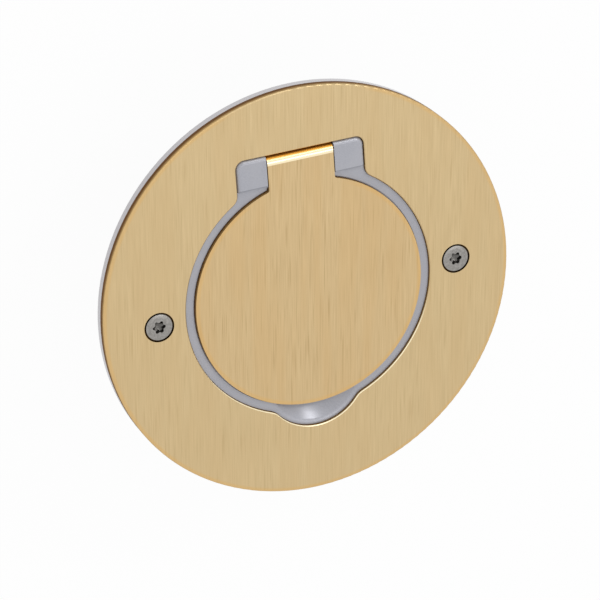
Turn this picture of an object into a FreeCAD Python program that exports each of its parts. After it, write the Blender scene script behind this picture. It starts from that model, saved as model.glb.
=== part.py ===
import FreeCAD, Part
import math
import os
import re

import Sketcher
from FreeCAD import Placement, Rotation, Vector

# Floor socket box with a hinged brass lid. The origin is the centre of the flange's underside,
# which is the finished floor level. +Z points up out of the floor, +Y towards the lid's hinge.

doc = FreeCAD.newDocument("floor_socket_box")

# ---------------------------------------------------------------- sizes

sizes = {
    # cover plate and the flange under it
    "plate_radius": 65.0,
    "plate_thickness": 2.4,
    "flange_thickness": 2.4,
    "plate_edge_round": 0.4,
    # opening of the plate: a circle, a finger notch and a hinge pocket
    "ring_width": 3.1,
    "opening_chamfer": 0.25,
    "notch_radius": 16.2,
    "notch_reach": 4.8,
    "notch_blend": 5.5,
    "pocket_half_width": 20.3,
    "pocket_depth": 6.7,
    "pocket_corner": 2.8,
    "pocket_blend": 3.5,
    "moulding_gap": 0.12,
    # ring of the frame round the lid, and the hollow that takes the lid
    "ring_drop": 1.05,
    "lid_gap": 0.4,
    "recess_gap": 0.3,
    "seat_level": -1.6,
    "seat_thickness": 2.0,
    "seat_width": 3.2,
    "spigot_step": 0.7,
    "scoop_rim": 1.1,
    "scoop_depth": 5.0,
    "scoop_round": 2.0,
    "lug_setback": 3.0,
    "lug_round": 1.3,
    "hinge_wall": 1.6,
    # floor gasket in its groove
    "gasket_edge": 4.0,
    "gasket_width": 4.4,
    "gasket_depth": 1.2,
    # lid
    "lid_radius": 36.2,
    "lid_sheet": 1.5,
    "neck_half_width": 10.4,
    "neck_gap": 0.3,
    "neck_blend": 0.8,
    "pin_radius": 1.0,
    "pin_clearance": 0.05,
    "hinge_gap": 0.3,
    "curl_gap": 0.15,
    "lid_boss_radius": 2.5,
    "lid_boss_height": 1.5,
    "lid_screw_inset": 9.8,
    "lid_screw_radius": 1.0,
    "lid_screw_head": 1.9,
    "lid_screw_head_height": 1.2,
    "lid_screw_sink": 1.5,
    # liner and seal under the lid
    "liner_inset": 2.4,
    "liner_sheet": 1.6,
    "liner_depth": 3.9,
    "liner_wall": 2.7,
    "seal_width": 1.2,
    "seal_depth": 1.0,
    "seal_gap": 0.15,
    "seal_round": 0.6,
    "rib_thickness": 1.2,
    "rib_depth": 1.5,
    # socket face and plug well
    "face_gap": 0.4,
    "face_level": -2.0,
    "face_thickness": 2.0,
    "well_radius": 19.7,
    "well_depth": 17.5,
    "well_wall": 1.8,
    "well_floor": 2.0,
    "pin_spacing": 19.0,
    "pin_hole_radius": 2.6,
    "guide_width": 4.8,
    "guide_depth": 2.2,
    "guide_drop": 2.5,
    "face_round": 0.6,
    "gusset_drop": 5.5,
    "face_screw_radius": 1.5,
    "face_screw_head": 2.9,
    "face_screw_sink": 1.2,
    "face_screw_length": 10.0,
    "plug_pin_radius": 2.4,
    # socket base
    "base_radius": 24.0,
    "base_flat": 21.6,
    "base_height": 19.5,
    "post_radius": 3.0,
    "chamber_depth": 3.2,
    "chamber_half_x": 13.4,
    "shutter_thickness": 2.4,
    "shutter_half_x": 13.1,
    "shutter_low_y": -4.0,
    "shutter_high_y": 10.6,
    "shutter_travel": 6.2,
    "shutter_gap": 0.3,
    "ramp_drop": 1.7,
    "spring_radius": 1.2,
    "spring_wire": 0.2,
    "spring_end": -16.2,
    "spring_gap": 0.4,
    "spring_coils": 8,
    "contact_sheet": 0.6,
    "contact_width": 5.2,
    "fork_half": 3.2,
    "fork_drop": 2.2,
    "fork_headroom": 1.2,
    "fork_neck": 2.5,
    "fork_shoulder": 6.0,
    "contact_gap": 0.2,
    "terminal_y": -14.5,
    "earth_terminal_x": 7.5,
    "earth_terminal_y": 15.5,
    "clamp_half_x": 3.4,
    "clamp_half_y": 3.5,
    "clamp_height": 7.9,
    "clamp_roof": 2.2,
    "clamp_gap": 0.3,
    "terminal_screw_radius": 1.75,
    "terminal_head": 2.6,
    "terminal_head_height": 2.0,
    "terminal_sink": 4.5,
    "terminal_screw_length": 11.0,
    "wire_radius": 1.9,
    "strap_width": 5.0,
    "clip_gap": 0.7,
    "clip_drop": 4.0,
    "clip_reach": 2.4,
    "clip_slot_step": 1.5,
    "clip_fold": 1.9,
    "clip_nose_drop": 5.0,
    "clip_length": 10.0,
    "clip_tip_inset": 0.4,
    "tab_y": 8.0,
    "tab_width": 3.0,
    "cover_thickness": 1.2,
    "cover_screw_x": 18.5,
    "cover_screw_radius": 1.0,
    "cover_screw_head": 2.0,
    "cover_screw_length": 6.0,
    # steel ring that carries the socket
    "ring_sheet": 1.0,
    "leg_half_width": 6.0,
    "leg_end": 2.0,
    "ring_corner": 14.0,
    "slot_reach": 2.0,
    "device_spacing": 60.0,
    "rivet_radius": 1.2,
    "rivet_head": 2.2,
    "rivet_inner": 17.5,
    "rivet_drop": 4.5,
    # box in the floor
    "screw_inset": 8.54,
    "boss_inset": 0.16,
    "bowl_depth": 15.0,
    "cup_margin": 4.0,
    "floor_gap": 1.8,
    "cup_draft": 0.8,
    "box_wall": 2.2,
    "box_floor": 2.0,
    "boss_radius": 4.0,
    "insert_radius": 2.6,
    "insert_length": 9.0,
    "insert_sink": 0.3,
    "insert_hole_depth": 12.0,
    "dome_radius": 3.0,
    "dome_length": 14.0,
    "entry_radius": 10.0,
    "entry_wall": 2.0,
    "entry_length": 4.0,
    "entry_rise": 15.0,
    "entry_lip": 0.5,
    "cable_radius": 4.8,
    "grommet_flange": 1.6,
    "fixing_spacing": 54.0,
    "fixing_radius": 2.25,
    "gusset_thickness": 2.0,
    "box_gusset_drop": 14.0,
    # screws
    "plate_screw_radius": 2.0,
    "plate_screw_head": 4.1,
    "plate_screw_length": 16.0,
    "screw_hole_gap": 0.25,
    "relief_width": 0.55,
    "relief_depth": 0.55,
    "thread_fit": 0.02,
    "fit_gap": 0.05,
    "drive_radius": 1.9,
    "drive_depth": 1.4,
    "device_screw_radius": 1.6,
    "device_screw_head": 3.0,
    "device_screw_length": 13.0,
}

# Sizes that follow from the ones above.
derived = {
    "opening_radius": "lid_radius + ring_width",
    "notch_offset": "opening_radius + notch_reach - notch_radius",
    "pocket_end": "opening_radius + pocket_depth",
    "lug_start": "opening_radius - lug_setback",
    "spigot_radius": "opening_radius + spigot_step",
    "screw_offset": "opening_radius + screw_inset",
    "bowl_radius": "screw_offset + boss_radius + boss_inset",
    "gasket_inner": "plate_radius - gasket_edge - gasket_width",
    "liner_radius": "lid_radius - liner_inset",
    "lid_screw_circle": "liner_radius - lid_screw_inset",
    "face_radius": "seat_bore - face_gap",
    "plate_top": "flange_thickness + plate_thickness",
    "ring_level": "plate_top - ring_drop",
    "ring_bore": "lid_radius + lid_gap",
    "countersink_depth": "plate_screw_head - plate_screw_radius - screw_hole_gap",
    "recess_level": "plate_top - lid_sheet - recess_gap",
    "liner_bore": "liner_radius + lid_gap",
    "seat_bore": "liner_bore - seat_width",
    "eye_bore": "pin_radius + pin_clearance",
    "eye_radius": "eye_bore + lid_sheet",
    "hinge_y": "pocket_end - hinge_gap - eye_radius",
    "hinge_z": "plate_top - eye_radius",
    "trough_radius": "eye_radius + hinge_gap",
    "lug_inner": "neck_half_width + neck_gap",
    "hinge_block_half": "lug_inner + hinge_wall",
    "hinge_block_end": "hinge_y + trough_radius + hinge_wall",
    "curl_rise": "eye_bore - curl_gap",
    "curl_reach": "sqrt(eye_radius ^ 2 - curl_rise ^ 2)",
    "curl_share": "eye_bore / eye_radius",
    "liner_top": "plate_top - lid_sheet",
    "liner_bottom": "liner_top - liner_depth",
    "seal_radius": "liner_radius - liner_wall / 2",
    "well_bottom": "face_level - well_depth",
    "tube_radius": "well_radius + well_wall",
    "base_top": "well_bottom - well_floor",
    "base_bottom": "base_top - base_height",
    "chamber_floor": "base_top - chamber_depth",
    "strip_top": "base_bottom + 1.7",
    "strip_bottom": "strip_top - contact_sheet",
    "fork_top": "chamber_floor - fork_drop",
    "clip_top": "face_level - clip_drop",
    "terminal_seat": "base_top - terminal_sink",
    "terminal_tip": "terminal_seat - terminal_screw_length",
    "wire_level": "strip_top + wire_radius + 0.1",
    "rivet_level": "base_top - rivet_drop",
    "entry_start": "sqrt(cup_radius ^ 2 - (entry_radius + entry_wall) ^ 2) - box_wall / 4",
    "bowl_floor": "box_floor - bowl_depth",
    "ring_top": "bowl_floor + ring_sheet",
    "leg_length": "ring_top - rivet_level + leg_end",
    "ring_half_width": "cup_radius",
    "cup_radius": "device_spacing / 2 + cup_margin",
    "cup_depth": "box_floor + floor_gap + cover_thickness - base_bottom",
    "entry_end": "cup_radius + entry_length",
    "entry_depth": "cup_depth - entry_rise",
    "leg_inner": "base_flat + contact_sheet + 4 * fit_gap",
    "scoop_radius": "notch_radius - moulding_gap - scoop_rim",
    "scoop_ball": "(scoop_radius ^ 2 + scoop_depth ^ 2) / (2 * scoop_depth)",
}

sheet = doc.addObject("Spreadsheet::Sheet", "Sizes")
for row, (alias, number) in enumerate(sizes.items(), start=1):
    sheet.set(f"A{row}", alias)
    sheet.set(f"B{row}", str(number))
    sheet.setAlias(f"B{row}", alias)
doc.recompute()


def formula(text):
    """The text as an expression: derived names are opened up and sizes are read from the sheet."""

    def swap(match):
        word = match.group()
        if word in derived:
            return "(" + formula(derived[word]) + ")"
        return "Sizes." + word if word in sizes else word

    return re.sub(r"[a-z]\w*", swap, str(text))


def value(text):
    """The number that an expression gives now."""
    return float(sheet.evalExpression(formula(text)))


def bind(item, **properties):
    """Ties properties to expressions. Two underscores in a name stand for a dot."""
    for name, text in properties.items():
        item.setExpression(name.replace("__", "."), formula(text))


# ---------------------------------------------------------------- sketches and features

PLANE_OF_AXES = {"XY": "XY_Plane", "XZ": "XZ_Plane", "YZ": "YZ_Plane"}


def new_body(label):
    body = doc.addObject("PartDesign::Body", "Body_" + label)
    body.Label = label
    body.AllowCompound = True
    return body


def new_sketch(body, axes, offset="0"):
    """A sketch on one of the body's own planes, moved along the plane's normal."""
    sketch = body.newObject("Sketcher::SketchObject", f"Sketch_{body.Label}")
    planes = {item.Role: item for item in body.Origin.OriginFeatures}
    sketch.AttachmentSupport = [(planes[PLANE_OF_AXES[axes]], "")]
    sketch.MapMode = "FlatFace"
    bind(sketch, AttachmentOffset__Base__z=offset)
    return sketch


def fix_point(sketch, geometry, point, across, up):
    """Ties a point of a sketch to two distances from the origin."""
    for kind, text in (("DistanceX", across), ("DistanceY", up)):
        number = sketch.addConstraint(Sketcher.Constraint(kind, -1, 1, geometry, point, value(text)))
        bind(sketch, **{f"Constraints[{number}]": text})


def draw_axis(sketch, start, end):
    """A construction line to turn a profile round."""
    places = [Vector(value(across), value(up), 0) for across, up in (start, end)]
    geometry = sketch.addGeometry(Part.LineSegment(*places), True)
    fix_point(sketch, geometry, 1, *start)
    fix_point(sketch, geometry, 2, *end)


def draw_circle(sketch, across, up, radius):
    centre = Vector(value(across), value(up), 0)
    geometry = sketch.addGeometry(Part.Circle(centre, Vector(0, 0, 1), value(radius)), False)
    fix_point(sketch, geometry, 3, across, up)
    number = sketch.addConstraint(Sketcher.Constraint("Radius", geometry, value(radius)))
    bind(sketch, **{f"Constraints[{number}]": radius})


def arc_between(start, end, radius, turn):
    """The arc from start to end: turn is +1 for anticlockwise, and a negative radius takes the long way."""
    chord = end - start
    half = chord.Length / 2
    reach = math.sqrt(max(radius * radius - half * half, 0.0))
    side = turn if radius > 0 else -turn
    normal = Vector(-chord.y, chord.x, 0).normalize()
    centre = (start + end) * 0.5 + normal * (reach * side)
    first = math.atan2(start.y - centre.y, start.x - centre.x)
    last = math.atan2(end.y - centre.y, end.x - centre.x)
    circle = Part.Circle(centre, Vector(0, 0, 1), abs(radius))
    if turn > 0:
        return Part.ArcOfCircle(circle, first, last if last > first else last + 2 * math.pi)
    return Part.ArcOfCircle(circle, last, first if first > last else first + 2 * math.pi)


def draw_outline(sketch, points):
    """A closed outline. Each point is (across, up), or (across, up, radius, turn) where an arc leaves it."""
    count = len(points)
    places = [Vector(value(point[0]), value(point[1]), 0) for point in points]
    edges = []
    for index, point in enumerate(points):
        start, end = places[index], places[(index + 1) % count]
        if len(point) == 2:
            edges.append((sketch.addGeometry(Part.LineSegment(start, end), False), 1, 2))
            continue
        arc = arc_between(start, end, value(point[2]), point[3])
        geometry = sketch.addGeometry(arc, False)
        number = sketch.addConstraint(Sketcher.Constraint("Radius", geometry, abs(value(point[2]))))
        bind(sketch, **{f"Constraints[{number}]": f"abs({point[2]})"})
        edges.append((geometry, 1, 2) if point[3] > 0 else (geometry, 2, 1))
    for index, point in enumerate(points):
        before, this = edges[index - 1], edges[index]
        sketch.addConstraint(Sketcher.Constraint("Coincident", before[0], before[2], this[0], this[1]))
        fix_point(sketch, this[0], this[1], point[0], point[1])


def draw_rectangle(sketch, left, low, right, high):
    draw_outline(sketch, [(left, low), (right, low), (right, high), (left, high)])


def add_feature(body, kind, **properties):
    feature = body.newObject("PartDesign::" + kind, f"{kind}_{body.Label}")
    for name, item in properties.items():
        setattr(feature, name, item)
    return feature


def finish_feature(body, feature, grows):
    """Recomputes, and stops if the feature didn't add or take material as it should."""
    before = feature.BaseFeature.Shape.Volume if feature.BaseFeature else 0.0
    doc.recompute()
    change = feature.Shape.Volume - before
    if (change > 1e-6) != grows or abs(change) < 1e-6:
        raise RuntimeError(f"{feature.Name} of {body.Label} changed the volume by {change:.4f}")
    return feature


def pad(body, sketch, length, back=False, middle=False):
    feature = add_feature(body, "Pad", Profile=sketch, Reversed=back)
    feature.SideType = "Symmetric" if middle else "One side"
    bind(feature, Length=length)
    return finish_feature(body, feature, True)


def cut(body, sketch, length, back=False, middle=False):
    feature = add_feature(body, "Pocket", Profile=sketch, Reversed=back)
    feature.SideType = "Symmetric" if middle else "One side"
    bind(feature, Length=length)
    return finish_feature(body, feature, False)


def spin(body, sketch, take):
    """Turns a sketch round its own construction line, to add a solid or to take one away."""
    kind = "Groove" if take else "Revolution"
    feature = add_feature(body, kind, Profile=sketch, ReferenceAxis=(sketch, ["Axis0"]))
    feature.Angle = 360.0
    return finish_feature(body, feature, not take)


def turned(body, points, x="0", y="0", take=False):
    """A turned shape with an upright axis at x, y. Its points are radius and height."""
    sketch = new_sketch(body, "XZ", f"-({y})")
    draw_axis(sketch, (x, "0"), (x, "1"))
    draw_outline(sketch, [(f"{x} + {point[0]}", *point[1:]) for point in points])
    return spin(body, sketch, take)


def turned_on_y(body, points, x="0", z="0", take=False):
    """A turned shape with its axis along Y. Its points are the place along Y and the radius."""
    sketch = new_sketch(body, "YZ", x)
    draw_axis(sketch, ("0", z), ("1", z))
    draw_outline(sketch, [(point[0], f"{z} + {point[1]}", *point[2:]) for point in points])
    return spin(body, sketch, take)


def around(body, features, count):
    """Repeats features round the vertical axis."""
    pattern = add_feature(body, "PolarPattern", Originals=features, Angle=360.0, Occurrences=count)
    axes = {item.Role: item for item in body.Origin.OriginFeatures}
    pattern.Axis = (axes["Z_Axis"], [""])
    body.Tip = pattern
    doc.recompute()
    return pattern


def mirror(body, features, axes):
    """Repeats features on the other side of one of the body's planes."""
    copy = add_feature(body, "Mirrored", Originals=features)
    planes = {item.Role: item for item in body.Origin.OriginFeatures}
    copy.MirrorPlane = (planes[PLANE_OF_AXES[axes]], [""])
    body.Tip = copy
    doc.recompute()
    return copy


def chosen_edges(shape, test):
    """Names of the edges whose middle point and direction pass a test."""
    names = []
    for number, edge in enumerate(shape.Edges, start=1):
        middle = edge.valueAt((edge.FirstParameter + edge.LastParameter) / 2)
        along = edge.tangentAt((edge.FirstParameter + edge.LastParameter) / 2)
        if test(edge, middle, along):
            names.append(f"Edge{number}")
    return names


def dress(body, kind, size, test):
    """A fillet or chamfer on the edges of the tip that pass a test."""
    base = body.Tip
    names = chosen_edges(base.Shape, test)
    if not names:
        raise RuntimeError(f"no edge to dress on {body.Label}")
    feature = add_feature(body, kind, Base=(base, names))
    bind(feature, **{"Radius" if kind == "Fillet" else "Size": size})
    doc.recompute()
    return feature


def upright_near(places, reach=0.6):
    """A test for upright edges near one of the places."""

    def test(edge, middle, along):
        if abs(along.z) < 0.99:
            return False
        return any(math.hypot(middle.x - x, middle.y - y) < reach for x, y in places)

    return test


def level_at(height, inside=None):
    """A test for level edges at a height."""

    def test(edge, middle, along):
        if abs(along.z) > 0.01 or abs(middle.z - height) > 0.01:
            return False
        return inside is None or inside(middle)

    return test


def finished_part(label, shape, place=Placement()):
    """A sub-part whose shape is made with Part's own functions at the origin and then put in place."""
    item = doc.addObject("Part::Feature", label)
    item.Label = label
    item.Shape = shape
    item.Placement = place
    return item


def bent_strip(points, sheet, width, bend):
    """Sheet metal along a route of (across, up) points in the YZ plane, with its width along X."""
    places = [Vector(0, across, up) for across, up in points]
    edges = []
    start = places[0]
    for before, here, after in zip(places, places[1:], places[2:]):
        into = (here - before).normalize()
        out = (after - here).normalize()
        cut_back = bend * math.tan(into.getAngle(out) / 2)
        first = here - into * cut_back
        last = here + out * cut_back
        inward = (out - into).normalize()
        centre = here + inward * math.hypot(bend, cut_back)
        middle = centre - inward * bend
        edges.append(Part.LineSegment(start, first).toShape())
        edges.append(Part.Arc(first, middle, last).toShape())
        start = last
    edges.append(Part.LineSegment(start, places[-1]).toShape())
    ribbon = Part.Wire(edges).makeOffset2D(sheet / 2, 1, False, True, False)
    other = Part.Wire(edges).makeOffset2D(-sheet / 2, 1, False, True, False)
    ends = [Part.LineSegment(a, b).toShape() for a, b in zip(wire_ends(ribbon), wire_ends(other))]
    outline = Part.Wire(Part.__sortEdges__(ribbon.Edges + other.Edges + ends))
    solid = Part.Face(outline).extrude(Vector(width, 0, 0))
    solid.translate(Vector(-width / 2, 0, 0))
    return solid


def wire_ends(shape):
    ordered = Part.Wire(Part.__sortEdges__(shape.Edges)).OrderedVertexes
    ends = [ordered[0].Point, ordered[-1].Point]
    return sorted(ends, key=lambda point: (round(point.y, 3), round(point.z, 3)))


# ---------------------------------------------------------------- cover plate and frame


def opening_corners(gap):
    """Where the opening's circle meets the notch and the pocket, with all three drawn in by a gap."""
    circle = value(f"opening_radius - {gap}")
    notch = value(f"notch_radius - {gap}")
    offset = value("notch_offset")
    side = value(f"pocket_half_width - {gap}")
    low = -(circle**2 - notch**2 + offset**2) / (2 * offset)
    across = math.sqrt(circle**2 - low**2)
    high = math.sqrt(circle**2 - side**2)
    end = value(f"pocket_end - {gap}")
    return {
        "notch": [(across, low), (-across, low)],
        "blend": [(side, high), (-side, high)],
        "corner": [(side, end), (-side, end)],
    }


def make_cover_plate():
    """Flat round plate with its keyhole-like opening and two countersunk holes."""
    body = new_body("cover_plate")
    disc = new_sketch(body, "XY", "flange_thickness")
    draw_circle(disc, "0", "0", "plate_radius")
    pad(body, disc, "plate_thickness")
    top_edge = level_at(value("plate_top"))
    dress(body, "Fillet", "plate_edge_round", top_edge)
    circle = new_sketch(body, "XY", "plate_top")
    draw_circle(circle, "0", "0", "opening_radius")
    cut(body, circle, "plate_thickness")
    notch = new_sketch(body, "XY", "plate_top")
    draw_circle(notch, "0", "-notch_offset", "notch_radius")
    cut(body, notch, "plate_thickness")
    pocket = new_sketch(body, "XY", "plate_top")
    draw_rectangle(pocket, "-pocket_half_width", "0", "pocket_half_width", "pocket_end")
    cut(body, pocket, "plate_thickness")
    corners = opening_corners(0)
    dress(body, "Fillet", "notch_blend", upright_near(corners["notch"]))
    dress(body, "Fillet", "pocket_blend", upright_near(corners["blend"]))
    dress(body, "Fillet", "pocket_corner", upright_near(corners["corner"]))
    reach = value("pocket_end") + 1
    rim = level_at(value("plate_top"), lambda middle: math.hypot(middle.x, middle.y) < reach)
    dress(body, "Chamfer", "opening_chamfer", rim)
    cone = [
        ("0", "flange_thickness - 1"),
        ("plate_screw_radius + screw_hole_gap", "flange_thickness - 1"),
        ("plate_screw_radius + screw_hole_gap", "plate_top - countersink_depth"),
        ("plate_screw_head - relief_depth", "plate_top - relief_depth"),
        ("plate_screw_head + relief_width", "plate_top - relief_depth"),
        ("plate_screw_head + relief_width", "plate_top + 1"),
        ("0", "plate_top + 1"),
    ]
    hole = turned(body, cone, x="screw_offset", take=True)
    mirror(body, [hole], "YZ")
    return body


def make_base_frame():
    """Moulded frame: flange, ring round the lid, hinge lugs, finger scoop and the seat for the seal."""
    body = new_body("base_frame")
    flange = new_sketch(body, "XY")
    draw_circle(flange, "0", "0", "plate_radius")
    pad(body, flange, "flange_thickness")
    side = "pocket_half_width - moulding_gap"
    end = "pocket_end - moulding_gap"
    corners = opening_corners("moulding_gap")
    lugs = new_sketch(body, "XY", "flange_thickness")
    draw_rectangle(lugs, f"-({side})", "lug_start", side, end)
    pad(body, lugs, "plate_thickness")
    dress(body, "Fillet", "pocket_corner - moulding_gap", upright_near(corners["corner"]))
    front = value("lug_start")
    outer = level_at(value("plate_top"), lambda middle: middle.y > front + 0.01)
    dress(body, "Fillet", "lug_round", outer)

    spigot = new_sketch(body, "XY")
    draw_circle(spigot, "0", "0", "spigot_radius")
    pad(body, spigot, "seat_thickness - seat_level", back=True)
    ring = new_sketch(body, "XY", "flange_thickness")
    draw_circle(ring, "0", "0", "opening_radius - moulding_gap")
    pad(body, ring, "ring_level - flange_thickness")
    notch = new_sketch(body, "XY", "flange_thickness")
    draw_circle(notch, "0", "-notch_offset", "notch_radius - moulding_gap")
    pad(body, notch, "ring_level - flange_thickness")
    apron = new_sketch(body, "XY", "flange_thickness")
    draw_rectangle(apron, f"-({side})", "0", side, "lug_start")
    pad(body, apron, "ring_level - flange_thickness")
    dress(body, "Fillet", "notch_blend + moulding_gap", upright_near(corners["notch"]))
    dress(body, "Fillet", "pocket_blend + moulding_gap", upright_near(corners["blend"]))
    block = new_sketch(body, "XY")
    draw_rectangle(block, "-hinge_block_half", "lug_start", "hinge_block_half", "hinge_block_end")
    pad(body, block, "hinge_wall - hinge_z + trough_radius", back=True)
    hollow = [
        ("0", "seat_level - seat_thickness - 1"),
        ("seat_bore", "seat_level - seat_thickness - 1"),
        ("seat_bore", "seat_level"),
        ("liner_bore", "seat_level"),
        ("liner_bore", "recess_level"),
        ("ring_bore", "recess_level"),
        ("ring_bore", "plate_top + 1"),
        ("0", "plate_top + 1"),
    ]
    turned(body, hollow, take=True)
    neck = new_sketch(body, "XY", "plate_top")
    draw_rectangle(neck, "-lug_inner", "seat_bore", "lug_inner", "hinge_y")
    cut(body, neck, "plate_top - recess_level")
    trough = new_sketch(body, "XY", "plate_top")
    draw_rectangle(trough, "-lug_inner", "hinge_y - trough_radius", "lug_inner", "hinge_y + trough_radius")
    cut(body, trough, "plate_top - hinge_z")
    curl = new_sketch(body, "YZ")
    draw_circle(curl, "hinge_y", "hinge_z", "trough_radius")
    cut(body, curl, "2 * lug_inner", middle=True)
    bore = new_sketch(body, "YZ")
    draw_circle(bore, "hinge_y", "hinge_z", "pin_radius + thread_fit")
    cut(body, bore, "2 * pocket_half_width", middle=True)

    dish = [
        ("0", "ring_level - scoop_depth", "scoop_ball", 1),
        ("scoop_radius", "ring_level"),
        ("scoop_radius", "plate_top"),
        ("0", "plate_top"),
    ]
    turned(body, dish, y="-notch_offset", take=True)
    offset = value("notch_offset")
    radius = value("scoop_radius")
    brim = level_at(
        value("ring_level"), lambda middle: abs(math.hypot(middle.x, middle.y + offset) - radius) < 0.05
    )
    dress(body, "Fillet", "scoop_round", brim)
    groove = [
        ("gasket_inner", "-1"),
        ("gasket_inner + gasket_width", "-1"),
        ("gasket_inner + gasket_width", "gasket_depth"),
        ("gasket_inner", "gasket_depth"),
    ]
    turned(body, groove, take=True)
    holes = new_sketch(body, "XY", "flange_thickness")
    draw_circle(holes, "screw_offset", "0", "plate_screw_radius + screw_hole_gap")
    draw_circle(holes, "-screw_offset", "0", "plate_screw_radius + screw_hole_gap")
    cut(body, holes, "flange_thickness")
    return body


def make_floor_gasket():
    """Flat ring in the flange's groove, flush with its underside."""
    body = new_body("floor_gasket")
    section = [
        ("gasket_inner + fit_gap", "0"),
        ("gasket_inner + gasket_width - fit_gap", "0"),
        ("gasket_inner + gasket_width - fit_gap", "gasket_depth"),
        ("gasket_inner + fit_gap", "gasket_depth"),
    ]
    turned(body, section)
    return body


def make_plate_screws():
    """Two countersunk machine screws through plate and flange into the box."""
    body = new_body("plate_screws")
    section = [
        ("0", "plate_top - plate_screw_length"),
        ("plate_screw_radius - 0.4", "plate_top - plate_screw_length"),
        ("plate_screw_radius", "plate_top - plate_screw_length + 0.6"),
        ("plate_screw_radius", "plate_top - plate_screw_head + plate_screw_radius"),
        ("plate_screw_head", "plate_top"),
        ("drive_radius", "plate_top"),
        ("drive_radius", "plate_top - drive_depth"),
        ("0", "plate_top - drive_depth"),
    ]
    screw = turned(body, section, x="screw_offset")
    mirror(body, [screw], "YZ")
    return body


# ---------------------------------------------------------------- lid


def lid_screw_places():
    """The lid's screws stand on a circle, on the diagonals."""
    return "lid_screw_circle * sqrt(0.5)"


def make_lid_plate():
    """Sheet disc with a neck that is rolled into an eye round the hinge pin, and four tapped bosses."""
    body = new_body("lid_plate")
    disc = new_sketch(body, "XY", "liner_top")
    draw_circle(disc, "0", "0", "lid_radius")
    pad(body, disc, "lid_sheet")
    roll = new_sketch(body, "YZ")
    rolled = [
        ("lid_radius / 2", "liner_top"),
        ("lid_radius / 2", "plate_top"),
        ("hinge_y", "plate_top", "-eye_radius", -1),
        ("hinge_y - curl_reach", "hinge_z + curl_rise"),
        ("hinge_y - curl_reach * curl_share", "hinge_z + curl_rise * curl_share", "-eye_bore", 1),
        ("hinge_y", "liner_top"),
    ]
    draw_outline(roll, rolled)
    pad(body, roll, "2 * neck_half_width", middle=True)
    half = value("neck_half_width")
    meet = math.sqrt(value("lid_radius") ** 2 - half**2)
    dress(body, "Fillet", "neck_blend", upright_near([(half, meet), (-half, meet)]))
    place = lid_screw_places()
    boss = new_sketch(body, "XY", "liner_top")
    draw_circle(boss, place, place, "lid_boss_radius")
    stud = pad(body, boss, "lid_boss_height", back=True)
    around(body, [stud], 4)
    hole = new_sketch(body, "XY", "liner_top - lid_boss_height")
    draw_circle(hole, place, place, "lid_screw_radius + thread_fit")
    tapped = cut(body, hole, "lid_boss_height + lid_sheet / 2", back=True)
    around(body, [tapped], 4)
    return body


def make_lid_liner():
    """Ribbed disc under the lid, with a rim that carries the seal."""
    body = new_body("lid_liner")
    web = "liner_top - liner_sheet"
    section = [
        ("0", web),
        ("liner_radius - liner_wall", web),
        ("liner_radius - liner_wall", "liner_bottom"),
        ("liner_radius", "liner_bottom"),
        ("liner_radius", "liner_top"),
        ("0", "liner_top"),
    ]
    turned(body, section)
    rib = new_sketch(body, "XY", web)
    draw_rectangle(rib, "0", "-rib_thickness / 2", "liner_radius - liner_wall + 0.5", "rib_thickness / 2")
    spoke = pad(body, rib, "rib_depth", back=True)
    around(body, [spoke], 4)
    hoop = [
        ("lid_screw_circle / 2", f"{web} - rib_depth"),
        ("lid_screw_circle / 2 + rib_thickness", f"{web} - rib_depth"),
        ("lid_screw_circle / 2 + rib_thickness", f"{web} + 0.2"),
        ("lid_screw_circle / 2", f"{web} + 0.2"),
    ]
    turned(body, hoop)
    place = lid_screw_places()
    column = new_sketch(body, "XY", web)
    draw_circle(column, place, place, "lid_boss_radius + liner_sheet")
    post = pad(body, column, f"{web} - liner_bottom - 0.2", back=True)
    around(body, [post], 4)
    socket = new_sketch(body, "XY", "liner_top")
    draw_circle(socket, place, place, "lid_boss_radius + fit_gap")
    upper = cut(body, socket, "lid_boss_height + fit_gap")
    around(body, [upper], 4)
    sink = new_sketch(body, "XY", "liner_bottom")
    draw_circle(sink, place, place, "lid_screw_head + fit_gap")
    lower = cut(body, sink, "lid_screw_sink", back=True)
    around(body, [lower], 4)
    shaft = new_sketch(body, "XY", "liner_bottom")
    draw_circle(shaft, place, place, "lid_screw_radius + fit_gap")
    through = cut(body, shaft, "liner_depth", back=True)
    around(body, [through], 4)
    groove = [
        ("seal_radius - seal_width / 2", "liner_bottom - 1"),
        ("seal_radius + seal_width / 2", "liner_bottom - 1"),
        ("seal_radius + seal_width / 2", "liner_bottom + seal_depth"),
        ("seal_radius - seal_width / 2", "liner_bottom + seal_depth"),
    ]
    turned(body, groove, take=True)
    return body


def make_lid_seal():
    """Seal ring with a rounded lip that lands on the frame's seat."""
    body = new_body("lid_seal")
    half = "(seal_width / 2 - fit_gap)"
    lip = "seat_level + seal_gap + seal_round - sqrt(seal_round ^ 2 - (seal_width / 2 - fit_gap) ^ 2)"
    section = [
        (f"seal_radius - {half}", lip, "seal_round", 1),
        (f"seal_radius + {half}", lip),
        (f"seal_radius + {half}", "liner_bottom + seal_depth"),
        (f"seal_radius - {half}", "liner_bottom + seal_depth"),
    ]
    turned(body, section)
    return body


def make_lid_screws():
    """Four small screws that hold the liner to the lid's bosses."""
    body = new_body("lid_screws")
    seat = "liner_bottom + lid_screw_sink"
    place = lid_screw_places()
    section = [
        ("0", f"{seat} - lid_screw_head_height"),
        ("lid_screw_head", f"{seat} - lid_screw_head_height"),
        ("lid_screw_head", seat),
        ("lid_screw_radius", seat),
        ("lid_screw_radius", "liner_top + 0.4"),
        ("0", "liner_top + 0.4"),
    ]
    screw = turned(body, section, x=place, y=place)
    around(body, [screw], 4)
    return body


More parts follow.
